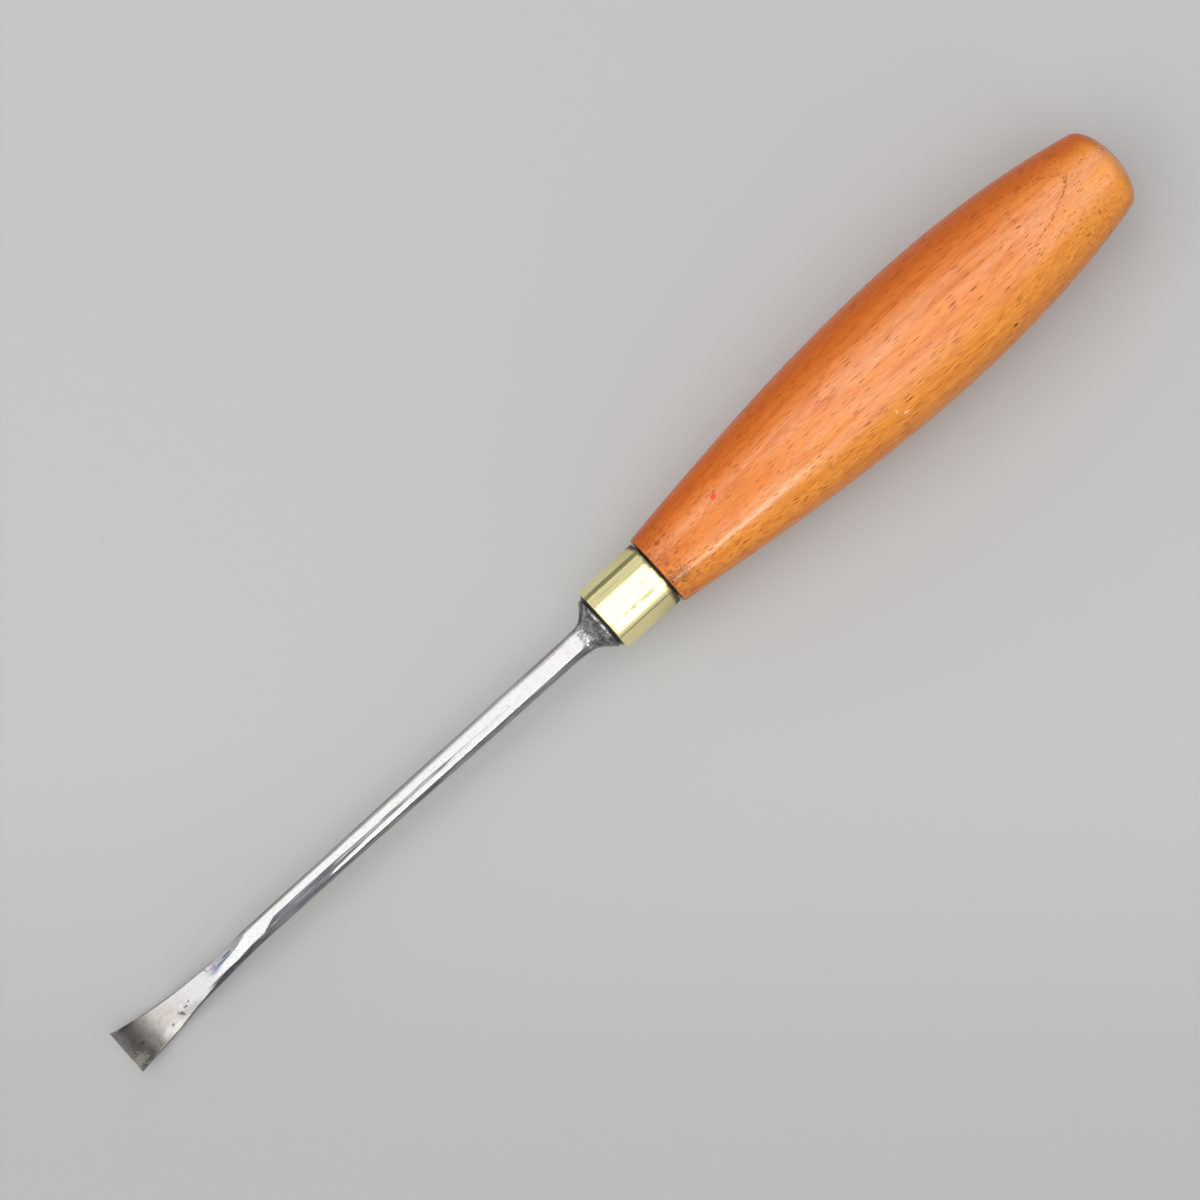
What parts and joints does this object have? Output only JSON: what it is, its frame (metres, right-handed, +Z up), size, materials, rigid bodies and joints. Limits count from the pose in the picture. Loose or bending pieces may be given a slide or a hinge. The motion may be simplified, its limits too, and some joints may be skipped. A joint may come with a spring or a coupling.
{
  "type": "spoon bent chisel",
  "caption": "Woodcarving chisel with a round turned handle, a metal ferrule and a forged square shank that dips into a short spoon with a straight cutting edge, for paring in hollows.",
  "frame": {"origin": "centre of the base of the bounding box, on the bench that the tool lies on", "axes": "+X towards the cutting edge, +Y across the tool, +Z up, the way the hollow of the spoon faces"},
  "size_m": [0.2536, 0.0276, 0.028],
  "materials": {
    "handle_wood": "orange stained beech under glossy varnish",
    "ferrule_brass": "drawn tube, lacquered, slightly tarnished at its rear edge",
    "blade_steel": "forged, ground along its length, worn bright on top"
  },
  "bodies": {
    "root": {"handle": "handle_wood", "ferrule": "ferrule_brass", "blade": "blade_steel"}
  },
  "joints": []
}
